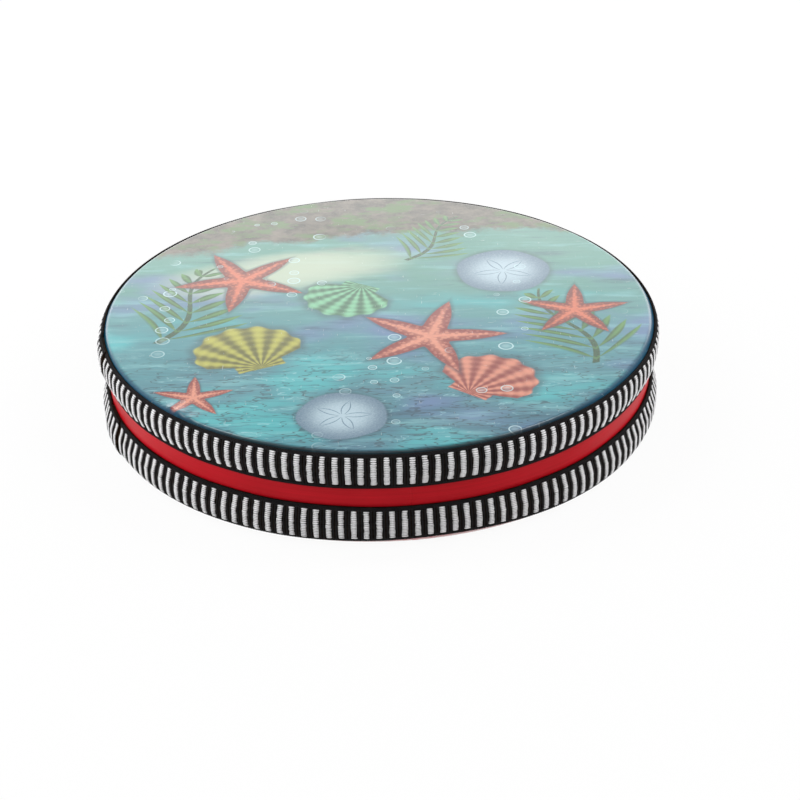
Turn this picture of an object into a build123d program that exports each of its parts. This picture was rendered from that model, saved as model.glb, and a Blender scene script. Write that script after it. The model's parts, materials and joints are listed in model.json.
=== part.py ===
# Ocean drum: a shallow frame drum with a printed head above, a clear head below
# and loose steel beads between them.
#
# Frame: the drum lies on its clear head, +Z is up and the origin is the centre of the face it rests on.
# -Y is the front, the side that carries the seam of the shell. Sizes are in millimetres.

import math
import os

from build123d import *

# Whole drum
overall_diameter = 200.0
overall_height = 35.0

# Shell: a bent ply hoop
shell_thickness = 4.5
bearing_edge = 0.5
seam_width = 0.3
seam_depth = 0.35
seam_angle = -84.0

# Heads: film drawn over the rim, its hem turned round a flesh hoop
film_thickness = 0.25
flesh_hoop_thickness = 1.6
flesh_hoop_height = 4.2
flesh_hoop_drop = 3.5

# Ribbons: woven braid glued over the hem of each head
ribbon_thickness = 1.0
ribbon_width_on_drum = 12.5
top_ribbon_inset = 0.95
bottom_ribbon_inset = 1.5
lap_length = 12.0
lap_rise = 0.6
top_lap_angle = 192.0
bottom_lap_angle = 200.0

# Beads
bead_diameter = 4.0
bead_sides = 6
bead_taper = 25.0
bead_spacing = 0.5
bead_floor_clearance = 0.1
rim_bead_count = 10
swashes_per_side = 8
swash_bead_count = 4
swash_bead_step = 7.0
swash_jitter = 1.2
swash_least_travel = 10.0
swash_spread = 0.85

# Glue line between bonded pieces
bond_gap = 0.05

# Radii, worked inwards from the bulge of the ribbon
ribbon_inner_radius = overall_diameter / 2 - ribbon_thickness
skirt_outer_radius = ribbon_inner_radius - bond_gap
skirt_inner_radius = skirt_outer_radius - film_thickness
flesh_hoop_outer_radius = skirt_inner_radius - bond_gap
flesh_hoop_inner_radius = flesh_hoop_outer_radius - flesh_hoop_thickness
shell_outer_radius = flesh_hoop_inner_radius - bond_gap
shell_inner_radius = shell_outer_radius - shell_thickness

# Heights, measured down from the top face
middle_height = overall_height / 2
film_underside = overall_height - film_thickness
flesh_hoop_top = overall_height - flesh_hoop_drop
flesh_hoop_bottom = flesh_hoop_top - flesh_hoop_height
hem_height = flesh_hoop_bottom - bond_gap
ribbon_kink = hem_height - film_thickness - bond_gap
shell_top = film_underside - bond_gap

# The film bends over the bearing edge and slopes out to the flesh hoop. The bearing edge is cut to that
# slope, and the ribbon lies on it
film_bend_radius = shell_outer_radius - bearing_edge
film_slope_run = skirt_inner_radius - film_bend_radius
film_slope_drop = film_underside - flesh_hoop_top
film_slope_length = math.hypot(film_slope_run, film_slope_drop)
bearing_edge_drop = bearing_edge * film_slope_drop / film_slope_run
ribbon_slope_shift = (film_thickness + bond_gap) * film_slope_length / film_slope_drop

# Beads: a ring that follows the shell, and two-lane swashes that roll inside that ring
bead_radius = bead_diameter / 2
bead_height = film_thickness + bead_floor_clearance + bead_radius
rim_run_radius = shell_inner_radius - bead_spacing - bead_radius
roll_radius = rim_run_radius - bead_diameter - bead_spacing
swash_half_length = swash_bead_step * (swash_bead_count - 1) / 2 + swash_jitter
shortest_half_chord = swash_half_length + swash_least_travel
lane_pitch = math.sqrt(roll_radius**2 - shortest_half_chord**2) / (2 * swashes_per_side)
golden_ratio = (math.sqrt(5) - 1) / 2

mid_plane = Plane.XY.offset(middle_height)


def scatter(number):
    """Give an even but irregular spread of values from -1 to 1, one for each whole number."""
    return 2 * (number * golden_ratio % 1) - 1


def ring(inner_radius, outer_radius, bottom, top):
    """Return a plain hoop of rectangular section round the Z axis."""
    with BuildPart() as hoop:
        with BuildSketch(Plane.XZ):
            with Locations(((inner_radius + outer_radius) / 2, (bottom + top) / 2)):
                Rectangle(outer_radius - inner_radius, top - bottom)
        revolve(axis=Axis.Z)
    return hoop.part


def mirrored_below(part):
    """Return the piece mirrored to the underside of the drum."""
    with BuildPart() as below:
        mirror(part, about=mid_plane)
    return below.part


def film_head():
    """Return the upper head: flat film, bent over the bearing edge, with its hem turned under the flesh hoop."""
    with BuildPart() as head:
        with BuildSketch(Plane.XZ):
            with BuildLine():
                Polyline(
                    (0, film_underside),
                    (film_bend_radius, film_underside),
                    (skirt_inner_radius, flesh_hoop_top),
                    (skirt_inner_radius, hem_height),
                    (flesh_hoop_inner_radius, hem_height),
                )
                offset(amount=film_thickness, side=Side.LEFT, kind=Kind.INTERSECTION)
            make_face()
        revolve(axis=Axis.Z)
    return head.part


def braid(lap_angle, inset):
    """Return a ribbon on the upper rim: a band that follows the bulge of the hem, its end lapped over its start."""
    ribbon_top = overall_height - inset
    slope_run_above = film_slope_run * (film_underside - ribbon_top) / film_slope_drop
    inner_line = (
        (film_bend_radius + ribbon_slope_shift + slope_run_above, ribbon_top),
        (ribbon_inner_radius, flesh_hoop_top),
        (ribbon_inner_radius, ribbon_kink),
        (shell_outer_radius + bond_gap, ribbon_top - ribbon_width_on_drum),
    )
    lap_arc = math.degrees(lap_length / ribbon_inner_radius)
    with BuildPart() as band:
        with BuildSketch(Plane.XZ):
            with BuildLine():
                Polyline(*inner_line)
                offset(amount=ribbon_thickness, side=Side.LEFT, kind=Kind.INTERSECTION)
            make_face()
        revolve(axis=Axis.Z)
        with BuildSketch(Plane.XZ.rotated((0, 0, lap_angle - lap_arc / 2))):
            with BuildLine():
                Polyline(*inner_line)
                offset(amount=ribbon_thickness + lap_rise, side=Side.LEFT, kind=Kind.INTERSECTION)
            make_face()
        revolve(axis=Axis.Z, revolution_arc=lap_arc)
    return band.part


def faceted_bead():
    """Return one bead as a flat-faced ball: a six-sided girdle that tapers to a flat above and below."""
    with BuildPart() as ball:
        with BuildSketch():
            RegularPolygon(bead_radius, bead_sides)
        extrude(amount=bead_radius, taper=bead_taper)
        mirror(about=Plane.XY)
    return ball.part


def bead_group(places):
    """Return separate beads with their centres at the given places in plan."""
    bead = faceted_bead()
    with BuildPart() as group:
        for x, y in places:
            with Locations((x, y, bead_height)):
                add(bead)
    return group.part


def swash_lanes(number):
    """Return the two lane positions across the drum of one swash, numbered from 1."""
    side = 1 if number % 2 else -1
    row = (number + 1) // 2
    return [side * lane_pitch * (2 * row - 1), side * lane_pitch * 2 * row]


def swash_half_travel(number):
    """Return how far the middle of one swash can roll from the middle of its lanes, either way."""
    widest = max(abs(lane) for lane in swash_lanes(number))
    return math.sqrt(roll_radius**2 - widest**2) - swash_half_length


def swash_rest(number):
    """Return where along its lanes the middle of one swash lies at rest."""
    return swash_spread * scatter(number) * swash_half_travel(number)


def swash_places(number):
    """Return the plan positions of the beads of one swash, taken from its two lanes in turn."""
    lanes = swash_lanes(number)
    places = []
    for index in range(swash_bead_count):
        step = (index - (swash_bead_count - 1) / 2) * swash_bead_step
        jitter = swash_jitter * scatter(number * swash_bead_count + index)
        places.append((swash_rest(number) + step + jitter, lanes[index % 2]))
    return places


def rim_places():
    """Return the plan positions of the beads that lie against the shell, unevenly spaced."""
    pitch = 2 * math.pi / rim_bead_count
    places = []
    for index in range(rim_bead_count):
        angle = pitch * (index + 0.35 * scatter(index + 1))
        places.append((rim_run_radius * math.cos(angle), rim_run_radius * math.sin(angle)))
    return places


swash_numbers = range(1, 2 * swashes_per_side + 1)

# Shell: the upper half is turned and mirrored, and the seam is cut up the outer face
with BuildPart() as shell:
    with BuildSketch(Plane.XZ):
        with BuildLine():
            Polyline(
                (shell_outer_radius, middle_height),
                (shell_outer_radius, shell_top - bearing_edge_drop),
                (film_bend_radius, shell_top),
                (shell_inner_radius, shell_top),
                (shell_inner_radius, middle_height),
                close=True,
            )
        make_face()
    revolve(axis=Axis.Z)
    mirror(about=mid_plane)
    with PolarLocations(shell_outer_radius, 1, start_angle=seam_angle):
        with Locations((0, 0, middle_height)):
            Box(2 * seam_depth, seam_width, overall_height, mode=Mode.SUBTRACT)

# Flesh hoops
with BuildPart() as top_flesh_hoop:
    add(ring(flesh_hoop_inner_radius, flesh_hoop_outer_radius, flesh_hoop_bottom, flesh_hoop_top))

with BuildPart() as bottom_flesh_hoop:
    add(mirrored_below(top_flesh_hoop.part))

# Heads
with BuildPart() as top_head:
    add(film_head())

with BuildPart() as bottom_head:
    add(mirrored_below(top_head.part))

# Ribbons
with BuildPart() as top_ribbon:
    add(braid(top_lap_angle, top_ribbon_inset))

with BuildPart() as bottom_ribbon:
    add(mirrored_below(braid(bottom_lap_angle, bottom_ribbon_inset)))

# Beads
with BuildPart() as centre_bead:
    add(bead_group([(0, 0)]))

with BuildPart() as rim_beads:
    add(bead_group(rim_places()))

os.makedirs("parts", exist_ok=True)

shell.part.label = "shell"
export_step(shell.part, "parts/shell.step")

top_flesh_hoop.part.label = "top_flesh_hoop"
export_step(top_flesh_hoop.part, "parts/top_flesh_hoop.step")

bottom_flesh_hoop.part.label = "bottom_flesh_hoop"
export_step(bottom_flesh_hoop.part, "parts/bottom_flesh_hoop.step")

top_head.part.label = "top_head"
export_step(top_head.part, "parts/top_head.step")

bottom_head.part.label = "bottom_head"
export_step(bottom_head.part, "parts/bottom_head.step")

top_ribbon.part.label = "top_ribbon"
export_step(top_ribbon.part, "parts/top_ribbon.step")

bottom_ribbon.part.label = "bottom_ribbon"
export_step(bottom_ribbon.part, "parts/bottom_ribbon.step")

centre_bead.part.label = "centre_bead"
export_step(centre_bead.part, "parts/centre_bead.step")

rim_beads.part.label = "rim_beads"
export_step(rim_beads.part, "parts/rim_beads.step")

for number in swash_numbers:
    swash_name = f"swash_beads_{number:02d}"
    with BuildPart() as swash_beads:
        add(bead_group(swash_places(number)))
    swash_beads.part.label = swash_name
    export_step(swash_beads.part, f"parts/{swash_name}.step")
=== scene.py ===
"""Looks of the ocean drum: film heads, braided ribbons, red lacquer and loose steel beads.

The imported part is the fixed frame. Each class builds the pieces of one sub-assembly in metres, in the frame
of the solids, and dresses them with procedural materials.
"""
from __future__ import annotations

import json
import logging
import math
from collections.abc import Callable, Sequence
from dataclasses import dataclass, field
from enum import Enum

import bmesh
import bpy
import numpy as np
from mathutils import Matrix, Vector


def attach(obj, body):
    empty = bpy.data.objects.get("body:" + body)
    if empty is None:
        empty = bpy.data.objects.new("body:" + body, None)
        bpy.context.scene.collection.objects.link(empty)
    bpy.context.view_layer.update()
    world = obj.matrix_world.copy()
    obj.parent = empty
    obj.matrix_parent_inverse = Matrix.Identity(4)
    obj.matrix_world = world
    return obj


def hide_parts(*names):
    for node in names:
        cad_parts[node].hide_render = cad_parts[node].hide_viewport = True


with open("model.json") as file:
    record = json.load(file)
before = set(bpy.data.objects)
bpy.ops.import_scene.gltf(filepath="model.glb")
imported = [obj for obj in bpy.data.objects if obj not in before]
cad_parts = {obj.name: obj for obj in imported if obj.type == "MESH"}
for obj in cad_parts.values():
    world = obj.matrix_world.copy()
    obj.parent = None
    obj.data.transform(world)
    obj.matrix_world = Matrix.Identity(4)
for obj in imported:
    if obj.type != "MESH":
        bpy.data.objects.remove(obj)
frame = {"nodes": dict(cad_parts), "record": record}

MM = 0.001
# The yarn materials use this attribute to paint shade in the grooves between threads.
GROOVE_SHADE_ATTRIBUTE = "crest"
LOG = logging.getLogger("ocean_drum")
Rgb = tuple[float, float, float]
Point = tuple[float, float]
Numbers = tuple[float, ...]
Waves = tuple[tuple[float, int, int], ...]


class Side(Enum):
    """Which face of the drum a head or ribbon belongs to."""

    TOP = "top"
    BOTTOM = "bottom"


class FilmSlot(Enum):
    """Material slots of the upper film, in order."""

    PRINT = 0
    BACK = 1
    SKIRT = 2


class ShellSlot(Enum):
    """Material slots of the shell, in order."""

    LACQUER = 0
    BARE = 1


@dataclass(frozen=True)
class DrumSizes:
    """Sizes that the pieces share with the solids, in metres."""

    radius: float = 100 * MM
    height: float = 35 * MM
    film: float = 0.25 * MM
    bond_gap: float = 0.05 * MM
    ribbon_thickness: float = 1.0 * MM
    ribbon_width_on_drum: float = 12.5 * MM
    flesh_hoop_thickness: float = 1.6 * MM
    flesh_hoop_height: float = 4.2 * MM
    flesh_hoop_drop: float = 3.5 * MM
    bearing_edge: float = 0.5 * MM
    shell_thickness: float = 4.5 * MM
    bead_diameter: float = 4.0 * MM

    # Radii, worked inwards from the bulge of the ribbon
    ribbon_inner_radius: float = radius - ribbon_thickness
    skirt_inner_radius: float = ribbon_inner_radius - bond_gap - film
    shell_outer_radius: float = skirt_inner_radius - flesh_hoop_thickness - 2 * bond_gap
    shell_inner_radius: float = shell_outer_radius - shell_thickness
    film_bend_radius: float = shell_outer_radius - bearing_edge

    # Heights on the upper half, and the slope of the film from the bearing edge to the flesh hoop
    film_underside: float = height - film
    flesh_hoop_top: float = height - flesh_hoop_drop
    hem_height: float = flesh_hoop_top - flesh_hoop_height - bond_gap
    slope_run: float = skirt_inner_radius - film_bend_radius
    slope_drop: float = film_underside - flesh_hoop_top


SIZES = DrumSizes()


class RoundedLine:
    """A line through corner points in a radial section, with its corners eased and its length known."""

    spacing = 0.05 * MM
    corner_points = 24
    least_gap = 1e-9
    normal_reach = 0.15 * MM

    def __init__(self, corners: Sequence[Point], easing: Sequence[float]) -> None:
        """Work out closely spaced points along the line.

        Args:
            corners: Radius and height of each corner, ends included.
            easing: How far before and after each inner corner its curve starts.
        """
        ends = [np.array(corner, float) for corner in corners]
        share = np.linspace(0, 1, self.corner_points)[:, None]
        runs: list[np.ndarray] = []
        start = ends[0]
        for last, corner, following, ease in zip(ends, ends[1:], ends[2:], easing):
            before = corner + self._towards(corner, last) * ease
            after = corner + self._towards(corner, following) * ease
            runs.append(self._straight(start, before))
            runs.append((1 - share) ** 2 * before + 2 * share * (1 - share) * corner + share**2 * after)
            start = after
        runs.append(self._straight(start, ends[-1]))
        points = np.vstack(runs)
        keep = np.r_[True, np.linalg.norm(np.diff(points, axis=0), axis=1) > self.least_gap]
        self.points = points[keep]
        self.along = np.r_[0, np.cumsum(np.linalg.norm(np.diff(self.points, axis=0), axis=1))]

    @staticmethod
    def _towards(here: np.ndarray, there: np.ndarray) -> np.ndarray:
        """Return the unit vector from one point to another."""
        return (there - here) / np.linalg.norm(there - here)

    def _straight(self, start: np.ndarray, end: np.ndarray) -> np.ndarray:
        """Return evenly spaced points on a straight run."""
        count = max(2, int(np.linalg.norm(end - start) / self.spacing))
        return start + (end - start) * np.linspace(0, 1, count)[:, None]

    @property
    def length(self) -> float:
        """Length of the line from end to end."""
        return float(self.along[-1])

    def _points_at(self, along: np.ndarray) -> np.ndarray:
        """Return the radius and height at distances along the line."""
        return np.stack([np.interp(along, self.along, self.points[:, axis]) for axis in (0, 1)], axis=-1)

    def at(self, along: np.ndarray) -> tuple[np.ndarray, np.ndarray]:
        """Return the points and the outward normals at distances along the line.

        Args:
            along: Distances from the start of the line.

        Returns:
            Two arrays of radius and height: points, and unit normals on the left of the line's direction.
        """
        run = self._points_at(along + self.normal_reach) - self._points_at(along - self.normal_reach)
        run /= np.linalg.norm(run, axis=-1, keepdims=True)
        return self._points_at(along), np.stack([-run[..., 1], run[..., 0]], axis=-1)


def soft_step(value: np.ndarray | float) -> np.ndarray:
    """Return a smooth rise from 0 to 1 as the value goes from 0 to 1."""
    share = np.clip(value, 0, 1)
    return share * share * (3 - 2 * share)


def link_piece(name: str, mesh: bpy.types.Mesh) -> bpy.types.Object:
    """Return a new object of a mesh, linked into the scene at the origin."""
    piece = bpy.data.objects.new(name, mesh)
    bpy.context.scene.collection.objects.link(piece)
    return piece


def mesh_piece(name: str, points: np.ndarray, faces: Sequence[Sequence[int]]) -> bpy.types.Object:
    """Make a smooth-shaded mesh object and link it into the scene.

    Args:
        name: Name of the piece.
        points: Corner positions, three columns.
        faces: Corner numbers of each face.

    Returns:
        The new object, at the origin.
    """
    mesh = bpy.data.meshes.new(name)
    corners = [tuple(map(float, point)) for point in points]
    mesh.from_pydata(corners, [], [list(map(int, face)) for face in faces])
    mesh.validate()
    mesh.shade_smooth()
    mesh.update()
    return link_piece(name, mesh)


def ring_faces(rows: int, columns: int, first: int = 0) -> list[list[int]]:
    """Return the quads between rings of points that are stored ring by ring.

    Args:
        rows: Number of rings.
        columns: Number of points in a ring, the last of which joins the first.
        first: Number of the first point.

    Returns:
        Corner numbers of each quad.
    """
    quads = []
    for row in range(rows - 1):
        here = first + row * columns
        ahead = here + columns
        for column in range(columns):
            beside = (column + 1) % columns
            quads.append([here + column, here + beside, ahead + beside, ahead + column])
    return quads


def round_axis(turn: np.ndarray, radius: np.ndarray, height: np.ndarray) -> np.ndarray:
    """Return points from their angles about the Z axis, radii and heights."""
    return np.stack([radius * np.cos(turn), radius * np.sin(turn), height], axis=-1)


def mirrored_height(points: np.ndarray, side: Side) -> np.ndarray:
    """Return the points as they are for the top, or turned over for the underside of the drum."""
    if side is Side.TOP:
        return points
    turned = points.copy()
    turned[:, 2] = SIZES.height - turned[:, 2]
    return turned


def face_outwards(piece: bpy.types.Object) -> None:
    """Turn all faces of a closed mesh so that they look outwards."""
    work = bmesh.new()
    work.from_mesh(piece.data)
    bmesh.ops.recalc_face_normals(work, faces=work.faces)
    work.to_mesh(piece.data)
    work.free()


class Term:
    """A number that changes over the surface: an output socket that can be worked with like a plain number."""

    def __init__(self, wiring: Wiring, socket: bpy.types.NodeSocket) -> None:
        """Keep the socket and the tree that it belongs to."""
        self.wiring = wiring
        self.socket = socket

    def _math(self, operation: str, *others: Term | float) -> Term:
        """Return the result of a Math node on this number and others."""
        node = self.wiring.node("ShaderNodeMath", operation=operation)
        for socket, value in zip(node.inputs, (self, *others)):
            self.wiring.join(value, socket)
        return Term(self.wiring, node.outputs[0])

    def __add__(self, other: Term | float) -> Term:
        """Return the sum."""
        return self._math("ADD", other)

    __radd__ = __add__

    def __sub__(self, other: Term | float) -> Term:
        """Return the difference."""
        return self._math("SUBTRACT", other)

    def __rsub__(self, other: float) -> Term:
        """Return a plain number less this one."""
        return (self * -1.0)._math("ADD", other)

    def __mul__(self, other: Term | float) -> Term:
        """Return the product."""
        return self._math("MULTIPLY", other)

    __rmul__ = __mul__

    def __truediv__(self, other: Term | float) -> Term:
        """Return the quotient."""
        return self._math("DIVIDE", other)

    def power(self, other: Term | float) -> Term:
        """Return this number raised to another."""
        return self._math("POWER", other)

    def sine(self) -> Term:
        """Return the sine."""
        return self._math("SINE")

    def cosine(self) -> Term:
        """Return the cosine."""
        return self._math("COSINE")

    def root(self) -> Term:
        """Return the square root."""
        return self._math("SQRT")

    def size(self) -> Term:
        """Return the number without its sign."""
        return self._math("ABSOLUTE")

    def rest(self) -> Term:
        """Return the part after the decimal point."""
        return self._math("FRACT")

    def angle_to(self, other: Term) -> Term:
        """Return the angle of the point whose upright part is this number and whose level part is the other."""
        return self._math("ARCTAN2", other)

    def least(self, other: Term | float) -> Term:
        """Return the smaller of two numbers."""
        return self._math("MINIMUM", other)

    def most(self, other: Term | float) -> Term:
        """Return the larger of two numbers."""
        return self._math("MAXIMUM", other)

    def step(self, low: float, high: float) -> Term:
        """Return a smooth change from 0 at low to 1 at high, falling where low is the larger."""
        node = self.wiring.node("ShaderNodeMapRange", interpolation_type="SMOOTHSTEP")
        self.wiring.fill(node, Value=self, From_Min=low, From_Max=high)
        return Term(self.wiring, node.outputs["Result"])


class Wiring:
    """Short calls for adding and joining nodes in one shader tree."""

    # Places of the colour sockets among those of a Mix node
    mix_under = 6
    mix_over = 7
    mix_result = 2

    def __init__(self, tree: bpy.types.NodeTree) -> None:
        """Keep the tree that the nodes go into."""
        self.tree = tree

    def node(self, kind: str, **settings: object) -> bpy.types.Node:
        """Add a node of a kind and give it its settings."""
        node = self.tree.nodes.new(kind)
        for name, value in settings.items():
            setattr(node, name, value)
        return node

    def found(self, kind: str) -> bpy.types.Node:
        """Return the first node of a type that is in the tree already."""
        return next(node for node in self.tree.nodes if node.type == kind)

    def join(self, value: object, socket: bpy.types.NodeSocket) -> None:
        """Link a term or socket to an input, or set the input to a plain value."""
        if isinstance(value, Term):
            value = value.socket
        if isinstance(value, bpy.types.NodeSocket):
            self.tree.links.new(value, socket)
        elif isinstance(value, tuple) and len(value) == 3 and socket.type == "RGBA":
            socket.default_value = (*value, 1.0)
        else:
            socket.default_value = value

    def fill(self, node: bpy.types.Node, **values: object) -> None:
        """Give a node's inputs, named with underscores for spaces, their values."""
        for name, value in values.items():
            self.join(value, node.inputs[name.replace("_", " ")])

    def parts(self, vector: bpy.types.NodeSocket) -> tuple[Term, Term, Term]:
        """Return the three parts of a vector."""
        node = self.node("ShaderNodeSeparateXYZ")
        self.join(vector, node.inputs[0])
        return Term(self, node.outputs[0]), Term(self, node.outputs[1]), Term(self, node.outputs[2])

    def level_parts(self, vector: bpy.types.NodeSocket) -> tuple[Term, Term, Term]:
        """Return the two level parts of a vector and its level distance from the origin."""
        x, y, _ = self.parts(vector)
        return x, y, (x * x + y * y).root()

    def blend(self, share: Term | float, under: object, over: object) -> bpy.types.NodeSocket:
        """Return one colour laid over another.

        Args:
            share: How much of the upper colour shows.
            under: The lower colour, a socket or three numbers.
            over: The upper colour, a socket or three numbers.

        Returns:
            The colour output.
        """
        node = self.node("ShaderNodeMix", data_type="RGBA", blend_type="MIX")
        self.join(share, node.inputs[0])
        self.join(under, node.inputs[self.mix_under])
        self.join(over, node.inputs[self.mix_over])
        return node.outputs[self.mix_result]

    def noise(self, vector: object, scale: object, detail: float = 2.0, rough: float = 0.5) -> Term:
        """Return a noise value from 0 to 1."""
        node = self.node("ShaderNodeTexNoise")
        self.fill(node, Vector=vector, Scale=scale, Detail=detail, Roughness=rough)
        return Term(self, node.outputs[0])

    def grain(self, vector: object, scale: Sequence[float], detail: float = 2.0, rough: float = 0.5) -> Term:
        """Return a noise value from 0 to 1, with its own scale along each axis."""
        return self.noise(self.stretched(vector, scale), 1.0, detail, rough)

    def cells(self, vector: object, scale: float, randomness: float = 1.0) -> bpy.types.Node:
        """Return a flat pattern of cells, which gives the distance to the middle and a colour for each cell."""
        node = self.node("ShaderNodeTexVoronoi", voronoi_dimensions="2D", feature="F1")
        self.fill(node, Vector=vector, Scale=scale, Randomness=randomness)
        return node

    def stretched(self, vector: object, scale: Sequence[float]) -> bpy.types.NodeSocket:
        """Return a vector scaled by its own amount along each axis."""
        node = self.node("ShaderNodeVectorMath", operation="MULTIPLY")
        self.join(vector, node.inputs[0])
        node.inputs[1].default_value = tuple(scale)
        return node.outputs[0]

    def placed(self, vector: object, spot: Point, turn: float, size: float) -> bpy.types.NodeSocket:
        """Return coordinates whose origin, turn and unit are those of a motif on the print."""
        node = self.node("ShaderNodeMapping", vector_type="TEXTURE")
        upright_turn = (0.0, 0.0, math.radians(turn))
        self.fill(node, Vector=vector, Location=(*spot, 0.0), Rotation=upright_turn, Scale=(size, size, 1.0))
        return node.outputs[0]

    def group(self, tree: bpy.types.NodeTree, **values: object) -> bpy.types.Node:
        """Place a node group and give its inputs, named with underscores for spaces, their values."""
        node = self.node("ShaderNodeGroup", node_tree=tree)
        self.fill(node, **values)
        return node

    def bump(self, height: Term, strength: float, distance: float) -> bpy.types.NodeSocket:
        """Return a normal that is tilted by a height."""
        node = self.node("ShaderNodeBump")
        self.fill(node, Height=height, Strength=strength, Distance=distance)
        return node.outputs[0]

    def object_place(self) -> bpy.types.NodeSocket:
        """Return the place on the piece, in metres in the drum's frame."""
        return self.node("ShaderNodeTexCoord").outputs["Object"]


Sockets = dict[str, tuple[str, object]]
Given = dict[str, bpy.types.NodeSocket]
Results = dict[str, object]
COLOUR, VALUE, VECTOR = "NodeSocketColor", "NodeSocketFloat", "NodeSocketVector"


def node_group(
    name: str, takes: Sockets, gives: dict[str, str], wire: Callable[[Wiring, Given], Results]
) -> bpy.types.NodeTree:
    """Build a shader node group.

    Args:
        name: Name of the group.
        takes: Input names with their socket kind and first value.
        gives: Output names with their socket kind.
        wire: Adds the nodes and returns what goes to each output.

    Returns:
        The group's tree.
    """
    tree = bpy.data.node_groups.new(name, "ShaderNodeTree")
    for label, (kind, value) in takes.items():
        socket = tree.interface.new_socket(label, in_out="INPUT", socket_type=kind)
        if value is not None:
            socket.default_value = value
    for label, kind in gives.items():
        tree.interface.new_socket(label, in_out="OUTPUT", socket_type=kind)
    wiring = Wiring(tree)
    entry = wiring.node("NodeGroupInput")
    leave = wiring.node("NodeGroupOutput")
    results = wire(wiring, {label: entry.outputs[label] for label in takes})
    for label in gives:
        wiring.join(results[label], leave.inputs[label])
    return tree


class SharedEffects:
    """Node groups that more than one finish uses."""

    def __init__(self) -> None:
        """Build the groups once."""
        self.thread_groove_shade = node_group(
            "thread_groove_shade",
            {"Place": (VECTOR, None), "Crest": (VALUE, 1.0), "Unevenness": (VALUE, 0.4)},
            {"Shade": VALUE, "Height": VALUE},
            self._wire_thread_groove_shade,
        )
        self.handling = node_group(
            "handling",
            {"Place": (VECTOR, None), "Scale": (VALUE, 30.0)},
            {"Smudge": VALUE, "Scratch": VALUE},
            self._wire_handling,
        )

    @staticmethod
    def _wire_thread_groove_shade(wiring: Wiring, given: Given) -> Results:
        """Painted shade in the grooves between threads, with fine fibres and an uneven tone."""
        uneven = Term(wiring, given["Unevenness"])
        fibre = wiring.grain(given["Place"], (900, 900, 5200), 3.0, 0.6) - 0.5
        tone = wiring.grain(given["Place"], (260, 260, 700)) - 0.5
        shade = Term(wiring, given["Crest"]) * 0.8 + (fibre + tone) * uneven + 0.1
        return {"Shade": shade, "Height": fibre}

    @staticmethod
    def _wire_handling(wiring: Wiring, given: Given) -> Results:
        """Cloudy finger smudges and fine scratches that lie two ways."""
        smudge = wiring.noise(given["Place"], given["Scale"], 4.0).step(0.35, 0.7)
        along = wiring.grain(given["Place"], (260, 1900, 260), 1.0).step(0.72, 0.8)
        crossing = wiring.grain(given["Place"], (2100, 240, 240), 1.0).step(0.73, 0.81)
        return {"Smudge": smudge, "Scratch": along.most(crossing)}


@dataclass(frozen=True)
class SeaColours:
    """Colours of the water and the reef in the print, the dark and light of each motif, and the painted shade
    on its rim.
    """

    deep_water: Rgb = (0.045, 0.15, 0.21)
    teal: Rgb = (0.06, 0.24, 0.27)
    sea_green: Rgb = (0.08, 0.26, 0.21)
    violet: Rgb = (0.12, 0.18, 0.36)
    turquoise: Rgb = (0.05, 0.40, 0.42)
    pale_streak: Rgb = (0.20, 0.48, 0.50)
    dark_streak: Rgb = (0.015, 0.065, 0.11)
    dark_ripple: Rgb = (0.01, 0.04, 0.06)
    pale_ripple: Rgb = (0.30, 0.58, 0.62)
    sunlit: Rgb = (0.50, 0.56, 0.42)
    dark_rock: Rgb = (0.035, 0.034, 0.022)
    pale_rock: Rgb = (0.17, 0.145, 0.11)
    mossy_rock: Rgb = (0.07, 0.15, 0.035)
    bubble: Rgb = (0.55, 0.75, 0.78)
    shadow: Rgb = (0.004, 0.03, 0.05)
    # Painted shade on the turned-down rim of the print, darker still where the rim faces the front.
    painted_rim_shade: Rgb = (0.003, 0.06, 0.12)
    painted_front_rim_shade: Rgb = (0.002, 0.010, 0.015)
    ember: tuple[Rgb, Rgb] = ((0.16, 0.018, 0.008), (0.60, 0.15, 0.07))
    coral: tuple[Rgb, Rgb] = ((0.22, 0.03, 0.022), (0.66, 0.26, 0.17))
    lime: tuple[Rgb, Rgb] = ((0.10, 0.10, 0.008), (0.45, 0.44, 0.07))
    jade: tuple[Rgb, Rgb] = ((0.02, 0.11, 0.05), (0.20, 0.52, 0.30))
    silver: tuple[Rgb, Rgb] = ((0.05, 0.12, 0.19), (0.42, 0.55, 0.62))
    moss: tuple[Rgb, Rgb] = ((0.008, 0.055, 0.02), (0.09, 0.25, 0.06))


SEA = SeaColours()


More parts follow.
